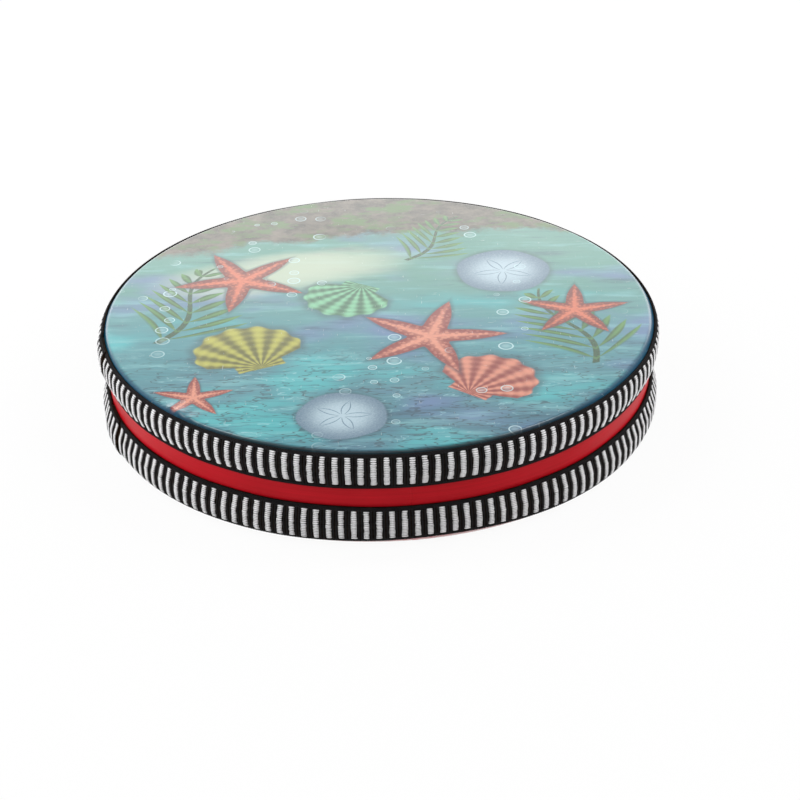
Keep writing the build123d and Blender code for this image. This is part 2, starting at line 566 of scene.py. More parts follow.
class SeaPrint:
    """A generic seabed picture for the upper head: stars, scallops, weed and sand dollars in blue water."""

    petals = 5
    whole_turns = 100.0
    scallop_ribs = 19.0
    leaf_pitch = 0.115
    petal_length = 0.66

    def __init__(self) -> None:
        """Build one group for each motif and one for the water."""
        place: Sockets = {"Place": (VECTOR, None)}
        over: Sockets = {"Under": (COLOUR, None), **place}
        painted: Sockets = {**over, "Dark": (COLOUR, None), "Light": (COLOUR, None)}
        colour = {"Color": COLOUR}
        self.water = node_group("print_water", place, colour, self._wire_water)
        self.bubbles = node_group("print_bubbles", over, colour, self._wire_bubbles)
        self.star = node_group("print_sea_star", painted, colour, self._wire_star)
        self.scallop = node_group("print_scallop", painted, colour, self._wire_scallop)
        self.weed = node_group("print_weed", painted, colour, self._wire_weed)
        self.dollar = node_group("print_sand_dollar", painted, colour, self._wire_dollar)

    @staticmethod
    def _wire_water(wiring: Wiring, given: Given) -> Results:
        """Deep teal in front, turquoise in the middle, and a dim green and taupe reef at the back."""
        place = given["Place"]
        across, deep, _ = wiring.parts(place)
        drift = wiring.grain(place, (1.6, 5.0, 1.0), 4.0, 0.6) - 0.5
        streak = wiring.grain(place, (2.6, 17.0, 1.0), 5.0, 0.62)
        broad = wiring.grain(place, (1.3, 2.9, 1.0), 3.0, 0.55)
        ripple = wiring.grain(place, (8.0, 30.0, 1.0)) - 0.5
        level = deep + drift * 0.35
        front = level.step(-0.15, -0.55)
        off_patch = (deep - across * 0.22 - 0.40 + drift * 0.2).power(2.0) * 26.0
        patch = (across + 0.34).power(2.0) * 3.4 + off_patch
        washes: list[tuple[Term, Rgb]] = [
            (level.step(-0.95, -0.2), SEA.teal),
            (level.step(-0.25, 0.35), SEA.sea_green),
            (broad.step(0.50, 0.66) * 0.75, SEA.violet),
            (broad.step(0.48, 0.34) * level.step(0.5, -0.2) * 0.85, SEA.turquoise),
            (streak.step(0.50, 0.70) * 0.5, SEA.pale_streak),
            (streak.step(0.46, 0.28) * 0.6, SEA.dark_streak),
            (ripple.size().step(0.022, 0.006) * front * 0.7, SEA.dark_ripple),
            ((ripple - 0.14).size().step(0.016, 0.004) * front * 0.5, SEA.pale_ripple),
            (patch.step(1.0, 0.0) * 0.8, SEA.sunlit),
        ]
        colour: object = SEA.deep_water
        for share, wash in washes:
            colour = wiring.blend(share, colour, wash)
        reef_edge = wiring.grain(place, (4.0, 4.0, 1.0), 6.0, 0.68) - 0.5
        reef = (deep - across * 0.10 + across * across * 0.12 + reef_edge * 0.34).step(0.60, 0.67)
        rock = wiring.grain(place, (11.0, 13.0, 1.0), 6.0, 0.7)
        moss = wiring.grain(place, (5.0, 9.0, 1.0), 5.0, 0.65)
        stone = wiring.blend(rock.step(0.3, 0.7), SEA.dark_rock, SEA.pale_rock)
        stone = wiring.blend(moss.step(0.48, 0.62), stone, SEA.mossy_rock)
        return {"Color": wiring.blend(reef, colour, stone)}

    @staticmethod
    def _wire_bubbles(wiring: Wiring, given: Given) -> Results:
        """Pale rings of many sizes, thinned out by a slow noise so that they rise in columns."""
        cells = wiring.cells(given["Place"], 11.0, 0.9)
        chance, share, _ = wiring.parts(cells.outputs["Color"])
        away = Term(wiring, cells.outputs["Distance"]) / (share * 0.22 + 0.08)
        column = wiring.grain(given["Place"], (3.2, 1.1, 1.0), 1.0).step(0.52, 0.62)
        shown = chance.step(0.55, 0.58) * column
        ring = away.step(0.72, 0.9) * away.step(1.05, 0.95)
        fill = away.step(1.0, 0.2) * 0.25
        return {"Color": wiring.blend((ring * 0.75).most(fill) * shown, given["Under"], SEA.bubble)}

    @classmethod
    def _fold(cls, x: Term, y: Term) -> Term:
        """Return 0 in the middle of each of the five petals or arms, rising to 1 halfway to the next."""
        turn = y.angle_to(x) * (cls.petals / math.tau) + cls.whole_turns
        return (turn.rest() - 0.5).size() * 2.0

    @staticmethod
    def _painted(
        wiring: Wiring, given: Given, tone: Term, mask: Term, shadow: Term | None = None
    ) -> Results:
        """Lay a motif over the picture.

        Args:
            wiring: The group's tree.
            given: The group's inputs.
            tone: Goes from the dark colour at 0 to the light one at 1.
            mask: Where the motif is.
            shadow: How strong its soft shadow is, if it has one.

        Returns:
            The colour of the picture with the motif on it.
        """
        under = given["Under"]
        body = wiring.blend(tone, given["Dark"], given["Light"])
        if shadow is not None:
            under = wiring.blend(shadow, under, SEA.shadow)
        return {"Color": wiring.blend(mask, under, body)}

    def _wire_star(self, wiring: Wiring, given: Given) -> Results:
        """Five tapering arms with a pale beaded ridge along each."""
        x, y, far = wiring.level_parts(given["Place"])
        fold = self._fold(x, y)
        reach = (1.0 - fold).most(0.0).power(1.9) * 0.70 + 0.30
        inside = far / reach
        grain = wiring.noise(given["Place"], 16.0, 4.0, 0.7)
        cells = wiring.cells(given["Place"], 13.0)
        knobs = Term(wiring, cells.outputs["Distance"]).step(0.42, 0.2)
        ridge = (fold * far * 3.4).step(0.30, 0.05)
        tone = inside.step(1.0, 0.25) * 0.55 + ridge * 0.35 + knobs * 0.3 + grain * 0.3 - 0.2
        shadow = (far / (reach + 0.07)).step(1.12, 0.9) * 0.55
        return self._painted(wiring, given, tone.step(0.0, 1.0), inside.step(1.03, 0.96), shadow)

    def _wire_scallop(self, wiring: Wiring, given: Given) -> Results:
        """A ribbed fan that opens from its hinge, with two small ears."""
        x, y, far = wiring.level_parts(given["Place"])
        lean = x.angle_to(y)
        ribbing = (lean * self.scallop_ribs).cosine()
        reach = (lean * 0.74).cosine() + ribbing * 0.022
        fan = (far / reach.most(0.05)).step(1.03, 0.98) * lean.size().step(1.22, 1.16)
        ears = x.size().step(0.30, 0.27) * (y - 0.06).size().step(0.11, 0.09)
        ribs = ribbing * 0.5 + 0.5
        bands = (far * 48.0 + wiring.noise(given["Place"], 3.0) * 4.0).sine()
        grain = wiring.noise(given["Place"], 18.0, 4.0, 0.7)
        tone = ribs * 0.6 + bands * 0.09 + grain * 0.35 + far * 0.15 - 0.1
        shadow = (far / (reach + 0.08).most(0.05)).step(1.1, 0.92) * lean.size().step(1.45, 1.15) * 0.5
        return self._painted(wiring, given, tone.step(0.05, 1.0), fan.most(ears), shadow)

    def _wire_weed(self, wiring: Wiring, given: Given) -> Results:
        """A swaying stem with pairs of long leaves that shorten towards its tip."""
        x, y, _ = wiring.parts(given["Place"])
        sway = x - (y * 6.0).sine() * 0.07
        out = sway.size()
        rise = y - out * 0.9
        leaf_reach = (1.0 - rise).most(0.05) * 0.34 + 0.05
        along = (out / leaf_reach).least(1.0)
        width = (along * math.pi).sine() * 0.036
        cell = ((rise / self.leaf_pitch).rest() - 0.5).size() * self.leaf_pitch
        leaf = (width - cell).step(-0.004, 0.010) * rise.step(0.02, 0.06)
        leaf = leaf * rise.step(0.96, 0.9) * along.step(1.0, 0.97)
        stem = (out - (1.0 - y) * 0.014).step(0.012, 0.004) * y.step(0.0, 0.02) * y.step(1.0, 0.97)
        grain = wiring.noise(given["Place"], 14.0, 4.0, 0.7)
        tone = along * 0.4 + (cell * 40.0).step(0.9, 0.1) * 0.35 + grain * 0.5 - 0.1
        return self._painted(wiring, given, tone.step(0.0, 1.0), leaf.most(stem))

    def _wire_dollar(self, wiring: Wiring, given: Given) -> Results:
        """A round flat shell with five petals pricked on it."""
        x, y, far = wiring.level_parts(given["Place"])
        fold = self._fold(x, y)
        rim = far + (fold * math.pi).cosine() * 0.02
        bulge = (far.least(self.petal_length) * (math.pi / self.petal_length)).sine()
        petal = (fold * far * 2.1) / (bulge * 0.30 + 0.01)
        line = petal.step(0.72, 0.92) * petal.step(1.2, 1.0) * far.step(0.70, 0.64) * far.step(0.05, 0.1)
        grain = wiring.noise(given["Place"], 20.0, 4.0, 0.7)
        pores = wiring.noise(given["Place"], 46.0, 1.0).step(0.62, 0.7)
        tone = far.step(1.05, 0.2) * 0.6 + grain * 0.5 - line * 0.55 - pores * 0.15
        shadow = far.step(1.16, 0.95) * 0.55
        return self._painted(wiring, given, tone.step(0.0, 1.0), rim.step(1.03, 0.97), shadow)

    def paint(self, wiring: Wiring) -> bpy.types.NodeSocket:
        """Lay the water and the motifs over each other, and paint shade on the rim.

        Args:
            wiring: The material's tree.

        Returns:
            The finished colour of the print.
        """
        place = wiring.stretched(wiring.object_place(), (1 / SIZES.radius, 1 / SIZES.radius, 0.0))
        colour = wiring.group(self.water, Place=place).outputs[0]
        # Each motif with its place in drum radii, its turn in degrees, its size and its colours
        spread: list[tuple[bpy.types.NodeTree, Point, float, float, tuple[Rgb, Rgb]]] = [
            (self.weed, (-0.78, -0.22), -18, 0.62, SEA.moss),
            (self.weed, (0.74, -0.42), 14, 0.60, SEA.moss),
            (self.weed, (0.10, 0.40), -30, 0.44, SEA.moss),
            (self.dollar, (0.46, 0.30), 12, 0.17, SEA.silver),
            (self.dollar, (-0.12, -0.74), 40, 0.15, SEA.silver),
            (self.scallop, (-0.40, -0.40), 24, 0.30, SEA.lime),
            (self.scallop, (0.30, -0.60), -38, 0.27, SEA.coral),
            (self.scallop, (-0.06, 0.20), 150, 0.25, SEA.jade),
            (self.star, (-0.50, 0.26), 10, 0.25, SEA.ember),
            (self.star, (0.18, -0.20), 38, 0.27, SEA.coral),
            (self.star, (0.70, -0.02), -22, 0.20, SEA.ember),
            (self.star, (-0.62, -0.60), 55, 0.14, SEA.coral),
        ]
        for tree, spot, turn, size, (dark, light) in spread:
            seat = wiring.placed(place, spot, turn, size)
            colour = wiring.group(tree, Under=colour, Place=seat, Dark=dark, Light=light).outputs[0]
        colour = wiring.group(self.bubbles, Under=colour, Place=place).outputs[0]
        # Painted shade: the rim of the print is darkened, most of all at the front.
        _, y, far = wiring.level_parts(place)
        rim_shade = wiring.blend(y.step(-0.6, -0.9), SEA.painted_rim_shade, SEA.painted_front_rim_shade)
        return wiring.blend(far.step(0.957, 0.970) * 0.92, colour, rim_shade)


class Surface:
    """A new material with its tree and its Principled shader."""

    def __init__(self, name: str) -> None:
        """Make the material."""
        self.material = bpy.data.materials.new(name)
        self.material.use_nodes = True
        self.wiring = Wiring(self.material.node_tree)
        self.shader = self.wiring.found("BSDF_PRINCIPLED")

    def touched(self, effects: SharedEffects, scale: float) -> tuple[Term, Term]:
        """Return the smudges and scratches of handling at a scale."""
        touch = self.wiring.group(effects.handling, Place=self.wiring.object_place(), Scale=scale)
        return Term(self.wiring, touch.outputs["Smudge"]), Term(self.wiring, touch.outputs["Scratch"])

    def finished(self, **values: object) -> bpy.types.Material:
        """Give the shader's inputs, named with underscores for spaces, their values and return the material."""
        self.wiring.fill(self.shader, **values)
        return self.material


@dataclass(frozen=True)
class PrintedFilmFinish:
    """Glossy film with the sea print under it."""

    name: str = "printed_film"
    roughness: float = 0.18
    gloss: float = 0.5
    refraction: float = 1.5
    touch_scale: float = 26.0
    # Pale on the scratches: partly their real scuffing, partly a painted glint.
    scratch_scuff_and_glint: Rgb = (0.60, 0.66, 0.66)

    def material(self, effects: SharedEffects, picture: SeaPrint) -> bpy.types.Material:
        """Return the printed film."""
        surface = Surface(self.name)
        smudge, scratch = surface.touched(effects, self.touch_scale)
        return surface.finished(
            # Painted glint and scuffing on the scratches.
            Base_Color=surface.wiring.blend(scratch * 0.30, picture.paint(surface.wiring), self.scratch_scuff_and_glint),
            Roughness=smudge * 0.06 + scratch * 0.08 + self.roughness,
            IOR=self.refraction,
            Specular_IOR_Level=self.gloss,
        )


@dataclass(frozen=True)
class ClearFilmFinish:
    """Clear glossy film with a faint haze of handling."""

    tint: Rgb = (0.97, 0.985, 0.985)
    roughness: float = 0.03
    refraction: float = 1.45
    touch_scale: float = 24.0

    def material(self, effects: SharedEffects) -> bpy.types.Material:
        """Return the clear film."""
        surface = Surface("clear_film")
        smudge, scratch = surface.touched(effects, self.touch_scale)
        return surface.finished(
            Base_Color=self.tint,
            Roughness=smudge * 0.05 + scratch * 0.06 + self.roughness,
            IOR=self.refraction,
            Transmission_Weight=1.0,
        )


@dataclass(frozen=True)
class MottledFinish:
    """A plain surface whose colour drifts between two tones along its grain."""

    name: str
    dark: Rgb
    light: Rgb
    grain_scale: Numbers
    grain_detail: float
    grain_rough: float
    roughness: float
    smudge_share: float
    touch_scale: float
    high_tone: float = 0.7
    low_tone: float = 0.3
    bump_strength: float = 0.0
    bump_distance: float = 0.1 * MM

    def material(self, effects: SharedEffects) -> bpy.types.Material:
        """Return the surface, with its grain raised where it has a bump."""
        surface = Surface(self.name)
        wiring = surface.wiring
        smudge, _ = surface.touched(effects, self.touch_scale)
        grain = wiring.grain(wiring.object_place(), self.grain_scale, self.grain_detail, self.grain_rough)
        if self.bump_strength:
            surface.finished(Normal=wiring.bump(grain, self.bump_strength, self.bump_distance))
        return surface.finished(
            Base_Color=wiring.blend(grain.step(self.low_tone, self.high_tone), self.dark, self.light),
            Roughness=smudge * self.smudge_share + self.roughness,
        )


@dataclass(frozen=True)
class LacquerFinish:
    """Satin red lacquer over fine ply grain that runs round the shell."""

    deep: Rgb = (0.38, 0.002, 0.007)
    bright: Rgb = (0.54, 0.004, 0.013)
    roughness: float = 0.36
    gloss: float = 0.13
    touch_scale: float = 40.0
    grain_scale: Numbers = (26, 26, 2600)
    cloud_scale: Numbers = (40, 40, 90)
    bump_strength: float = 0.25
    bump_distance: float = 0.05 * MM

    def material(self, effects: SharedEffects) -> bpy.types.Material:
        """Return the lacquer."""
        surface = Surface("red_lacquer")
        wiring = surface.wiring
        place = wiring.object_place()
        smudge, scratch = surface.touched(effects, self.touch_scale)
        grain = wiring.grain(place, self.grain_scale, 4.0, 0.65)
        cloud = wiring.grain(place, self.cloud_scale, 3.0)
        tone = grain * 0.7 + cloud * 0.5 - 0.1
        return surface.finished(
            Base_Color=wiring.blend(tone.step(0.2, 0.8), self.deep, self.bright),
            Roughness=smudge * 0.10 + grain * 0.08 + self.roughness,
            Normal=wiring.bump(grain + scratch * -0.4, self.bump_strength, self.bump_distance),
            Specular_IOR_Level=self.gloss,
        )


@dataclass(frozen=True)
class YarnFinish:
    """Yarn of the braid, with painted shade in the grooves between its threads and its own colour on their
    crests.
    """

    name: str
    # dark is painted shade in the grooves; light is the yarn's own colour on the crests.
    dark: Rgb
    light: Rgb
    roughness: float
    unevenness: float = 0.4
    gloss: float = 0.1
    bump_strength: float = 0.5
    bump_distance: float = 0.08 * MM

    def material(self, effects: SharedEffects) -> bpy.types.Material:
        """Return the yarn."""
        surface = Surface(self.name)
        wiring = surface.wiring
        # How far up a thread each point is; the grooves get painted shade.
        crest = wiring.node("ShaderNodeAttribute", attribute_name=GROOVE_SHADE_ATTRIBUTE).outputs["Fac"]
        place = wiring.object_place()
        lay = wiring.group(effects.thread_groove_shade, Place=place, Crest=crest, Unevenness=self.unevenness)
        shade = Term(wiring, lay.outputs["Shade"])
        height = Term(wiring, lay.outputs["Height"])
        return surface.finished(
            Base_Color=wiring.blend(shade.step(0.1, 0.9), self.dark, self.light),
            Roughness=self.roughness - shade * 0.12,
            Normal=wiring.bump(height, self.bump_strength, self.bump_distance),
            Specular_IOR_Level=self.gloss,
        )


@dataclass(frozen=True)
class SteelFinish:
    """Polished steel with light rolling marks."""

    polished: Rgb = (0.60, 0.60, 0.61)
    worn: Rgb = (0.468, 0.468, 0.4758)
    roughness: float = 0.14
    touch_scale: float = 420.0

    def material(self, effects: SharedEffects) -> bpy.types.Material:
        """Return the steel."""
        surface = Surface("bead_steel")
        smudge, scratch = surface.touched(effects, self.touch_scale)
        return surface.finished(
            Base_Color=surface.wiring.blend(smudge * 0.7, self.polished, self.worn),
            Roughness=smudge * 0.12 + scratch * 0.1 + self.roughness,
            Metallic=1.0,
        )


@dataclass
class Finishes:
    """Every material of the drum, made once."""

    effects: SharedEffects = field(default_factory=SharedEffects)

    def __post_init__(self) -> None:
        """Make the materials."""
        picture = SeaPrint()
        self.printed_film = PrintedFilmFinish().material(self.effects, picture)
        self.printed_skirt = PrintedFilmFinish("printed_skirt", 0.3, 0.12).material(self.effects, picture)
        self.film_back = MottledFinish(
            "film_back", (0.60, 0.70, 0.72), (0.72, 0.78, 0.78), grain_scale=(22, 40, 22), grain_detail=4.0,
            grain_rough=0.6, roughness=0.4, smudge_share=0.12, touch_scale=34.0,
        ).material(self.effects)
        self.clear_film = ClearFilmFinish().material(self.effects)
        self.red_lacquer = LacquerFinish().material(self.effects)
        self.bare_ply = MottledFinish(
            "bare_ply", (0.44, 0.29, 0.15), (0.62, 0.46, 0.28), grain_scale=(60, 60, 1500), grain_detail=5.0,
            grain_rough=0.65, roughness=0.62, smudge_share=0.1, touch_scale=60.0, high_tone=0.75,
            bump_strength=0.3,
        ).material(self.effects)
        self.hoop_strip = MottledFinish(
            "hoop_strip", (0.58, 0.50, 0.36), (0.6844, 0.59, 0.4248), grain_scale=(90, 90, 300),
            grain_detail=3.0, grain_rough=0.5, roughness=0.45, smudge_share=0.12, touch_scale=50.0,
        ).material(self.effects)
        self.steel = SteelFinish().material(self.effects)
        # The darker colour of each yarn is painted shade in its grooves.
        self.white_yarn = YarnFinish(
            "white_yarn", (0.05, 0.05, 0.055), (0.84, 0.835, 0.845), 0.45, gloss=0.35
        ).material(self.effects)
        self.black_yarn = YarnFinish(
            "black_yarn", (0.001, 0.001, 0.001), (0.022, 0.020, 0.021), 0.7, unevenness=0.5, gloss=0.04
        ).material(self.effects)
        self.ground_yarn = YarnFinish(
            "ground_yarn", (0.003, 0.002, 0.001), (0.030, 0.017, 0.010), 0.8, unevenness=0.8, gloss=0.03
        ).material(self.effects)


@dataclass
class Shell:
    """The bent ply hoop, lacquered outside, with its seam at the front."""

    finishes: Finishes
    seam_angle: float = math.radians(-84)
    seam_width: float = 0.20 * MM
    seam_depth: float = 0.14 * MM
    seam_step: float = 0.06 * MM
    step_run: float = 9 * MM
    wander: float = 0.12 * MM
    wander_rate: float = 420
    seam_reach: float = 6
    seam_copies: int = 61
    copies: int = 240
    wall_rows: int = 25
    outer_skin: float = 0.01 * MM
    lacquer_depth: float = 1.2 * MM
    level_tilt: float = 0.5

    def _section(self) -> np.ndarray:
        """Return the closed section of the hoop, with both bearing edges bevelled to the slope of the film."""
        outer = SIZES.shell_outer_radius
        inner = SIZES.shell_inner_radius
        bend = SIZES.film_bend_radius
        top = SIZES.film_underside - SIZES.bond_gap
        bottom = SIZES.height - top
        drop = SIZES.bearing_edge * SIZES.slope_drop / SIZES.slope_run
        wall = [(outer, height) for height in np.linspace(bottom + drop, top - drop, self.wall_rows)]
        return np.array([(inner, bottom), (bend, bottom), *wall, (bend, top), (inner, top)])

    def build(self) -> bpy.types.Object:
        """Turn the section about the Z axis, with a groove and a slight step at the seam."""
        section = self._section()
        close = np.linspace(-self.seam_reach, self.seam_reach, self.seam_copies)
        near = self.seam_angle + close * self.seam_width / SIZES.shell_outer_radius
        even = self.seam_angle + np.linspace(0, math.tau, self.copies, endpoint=False)[2:-1]
        angles = np.r_[near, even]
        count = len(section)
        turn = np.repeat(angles, count)
        radius = np.tile(section[:, 0], len(angles))
        height = np.tile(section[:, 1], len(angles))
        radius = radius + self._seam(turn, radius, height)
        faces = []
        for row in range(len(angles)):
            here = row * count
            ahead = (row + 1) % len(angles) * count
            for column in range(count):
                beside = (column + 1) % count
                faces.append([here + column, ahead + column, ahead + beside, here + beside])
        piece = mesh_piece("lacquered_shell", round_axis(turn, radius, height), faces)
        face_outwards(piece)
        return piece

    def _seam(self, turn: np.ndarray, radius: np.ndarray, height: np.ndarray) -> np.ndarray:
        """Return the change of radius at the seam, on the outer face only."""
        outer = SIZES.shell_outer_radius
        away = (turn - self.seam_angle) * outer
        away = np.where(away > math.pi * outer, away - math.tau * outer, away)
        wander = self.wander * np.sin(height * self.wander_rate)
        groove = np.exp(-(((away - wander) / self.seam_width) ** 2))
        fade = np.clip(1 - away / self.step_run, 0, 1) * (away > -self.seam_width)
        step = soft_step(away / self.seam_width + 0.5) * fade
        outside = radius > outer - self.outer_skin
        return outside * (-groove * self.seam_depth + step * self.seam_step)

    def dress(self, piece: bpy.types.Object) -> None:
        """Lacquer the outside and leave the inside and ends bare."""
        piece.data.materials.append(self.finishes.red_lacquer)
        piece.data.materials.append(self.finishes.bare_ply)
        limit = (SIZES.shell_outer_radius - self.lacquer_depth) ** 2
        for face in piece.data.polygons:
            outside = face.center.x**2 + face.center.y**2 > limit
            slot = ShellSlot.LACQUER if outside else ShellSlot.BARE
            face.material_index = slot.value
            face.use_smooth = abs(face.normal.z) < self.level_tilt
        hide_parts("shell")
        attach(piece, "drum")


@dataclass
class Head:
    """A film head: flat skin, rounded rim, sloping skirt and hem."""

    finishes: Finishes
    side: Side
    swell: float
    dome: float = 0.0
    puckers: tuple[Point, ...] = ()
    pucker_width: float = 1.1 * MM
    pucker_reach: float = 3.0 * MM
    calm_rim: float = 6.0 * MM
    calm_fade: float = 14 * MM
    easing: Numbers = (0.85 * MM, 0.5 * MM, 0.12 * MM)
    flat_end: float = 1.5 * MM
    roll_start: float = 1.1 * MM
    roll_end: float = 1.0 * MM
    edge_start: float = 1.2 * MM
    copies: int = 300
    flat_rings: int = 40
    roll_rings: int = 22
    edge_rings: int = 38
    skirt_tilt: float = 0.65
    underside_tilt: float = -0.5

    def _section(self) -> np.ndarray:
        """Return the closed section of the film: out to the hem and back, at its real thickness."""
        bend = SIZES.film_bend_radius
        line = RoundedLine(
            [
                (0, SIZES.film_underside),
                (bend, SIZES.film_underside),
                (SIZES.skirt_inner_radius, SIZES.flesh_hoop_top),
                (SIZES.skirt_inner_radius, SIZES.hem_height),
                (SIZES.shell_outer_radius + SIZES.bond_gap, SIZES.hem_height),
            ],
            self.easing,
        )
        flat = np.linspace(0, bend - self.flat_end, self.flat_rings)[1:]
        roll = np.linspace(bend - self.roll_start, bend + self.roll_end, self.roll_rings)
        edge = np.linspace(bend + self.edge_start, line.length, self.edge_rings)
        places, normals = line.at(np.r_[flat, roll, edge])
        return np.vstack([places + normals * SIZES.film, places[::-1]])

    def build(self) -> bpy.types.Object:
        """Build the film as a closed skin."""
        section = self._section()
        rings = len(section)
        turn = np.linspace(0, math.tau, self.copies, endpoint=False)
        radius = np.repeat(section[:, 0], self.copies)
        points = round_axis(np.tile(turn, rings), radius, np.repeat(section[:, 1], self.copies))
        points[:, 2] += self._swell(points, radius)
        poles = np.array([[0, 0, SIZES.height], [0, 0, SIZES.film_underside]])
        poles[:, 2] += self._swell(poles, np.zeros(2))
        faces = ring_faces(rings, self.copies)
        last_ring = (rings - 1) * self.copies
        upper_pole = rings * self.copies
        for column in range(self.copies):
            beside = (column + 1) % self.copies
            faces.append([upper_pole, column, beside])
            faces.append([upper_pole + 1, last_ring + beside, last_ring + column])
        points = mirrored_height(np.vstack([points, poles]), self.side)
        piece = mesh_piece(f"{self.side.value}_film", points, faces)
        face_outwards(piece)
        return piece

    def _swell(self, points: np.ndarray, radius: np.ndarray) -> np.ndarray:
        """Return the slight dome and unevenness of the stretched skin, with puckers at one place on the rim."""
        bend = SIZES.film_bend_radius
        x, y = points[:, 0] / SIZES.radius, points[:, 1] / SIZES.radius
        wave = np.sin(2.3 * x + 1.1) * np.sin(1.9 * y - 0.4) + 0.5 * np.sin(4.1 * x - 3.3 * y)
        calm = soft_step((bend - self.calm_rim - radius) / self.calm_fade)
        lift = self.swell * wave * calm + self.dome * np.clip(1 - (radius / bend) ** 2, 0, 1)
        for turn, height in self.puckers:
            out = points[:, 0] * math.cos(turn) + points[:, 1] * math.sin(turn)
            beside = (-points[:, 0] * math.sin(turn) + points[:, 1] * math.cos(turn)) / self.pucker_width
            lift += height * np.exp(-(beside**2)) * np.exp(-(((out - bend) / self.pucker_reach) ** 2))
        return lift

    def dress(self, piece: bpy.types.Object) -> None:
        """Print the upper film and leave the lower one clear."""
        if self.side is Side.TOP:
            piece.data.materials.append(self.finishes.printed_film)
            piece.data.materials.append(self.finishes.film_back)
            piece.data.materials.append(self.finishes.printed_skirt)
            for face in piece.data.polygons:
                slot = FilmSlot.PRINT
                if face.normal.z < self.underside_tilt and face.center.z > SIZES.flesh_hoop_top:
                    slot = FilmSlot.BACK
                elif face.normal.z < self.skirt_tilt:
                    slot = FilmSlot.SKIRT
                face.material_index = slot.value
        else:
            piece.data.materials.append(self.finishes.clear_film)
        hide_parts(f"{self.side.value}_head")
        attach(piece, "drum")


@dataclass(frozen=True)
class BarSizes:
    """The white bars, each a pad of round level threads. Spreads are those of the random unevenness."""

    count: int = 150
    width: float = 2.1 * MM
    lift: float = 1.0 * MM
    rim_edge: float = 1.25 * MM
    threads: int = 16
    rows_per_thread: int = 4
    teeth: float = 0.48 * MM
    groove_depth: float = 0.20 * MM
    lap_lean: float = 0.35 * MM
    columns: Numbers = (-1.0, -0.86, -0.3, 0.3, 0.86, 1.0)
    rise: Numbers = (0.0, 0.78, 1.0, 1.0, 0.78, 0.0)
    # Least painted light in a groove for each column: the sides of a bar get deeper painted shade than its
    # middle.
    least_painted_light: Numbers = (0.0, 0.0, 0.36, 0.36, 0.0, 0.0)
    end_spread: float = 0.09 * MM
    width_spread: float = 0.03
    thread_spread: float = 0.08 * MM
    shift_spread: float = 0.05 * MM
    tilt_spread: float = 0.06 * MM


@dataclass(frozen=True)
class RibSizes:
    """The paired black ribs between the bars."""

    width: float = 0.92 * MM
    shift: float = 0.54 * MM
    lift: float = 0.80 * MM
    edge_share: float = 0.8
    rows: int = 37
    weave_depth: float = 0.06 * MM
    columns: Numbers = (-1.0, -0.6, 0.6, 1.0)
    rise: Numbers = (0.0, 1.0, 1.0, 0.0)
    width_spread: float = 0.02 * MM


@dataclass(frozen=True)
class CordSizes:
    """The looped cords along both edges, three beside each other at each."""

    rim_places: Numbers = (0.25 * MM, 0.68 * MM, 1.06 * MM)
    wall_places: Numbers = (0.30 * MM, 0.84 * MM, 1.34 * MM)
    loop_pitch: float = 0.95 * MM
    points_per_loop: int = 4
    points_across: int = 6
    half_width: float = 0.24 * MM
    loop_width: float = 0.10 * MM
    height: float = 0.16 * MM
    loop_height: float = 0.20 * MM
    slant: float = 0.35


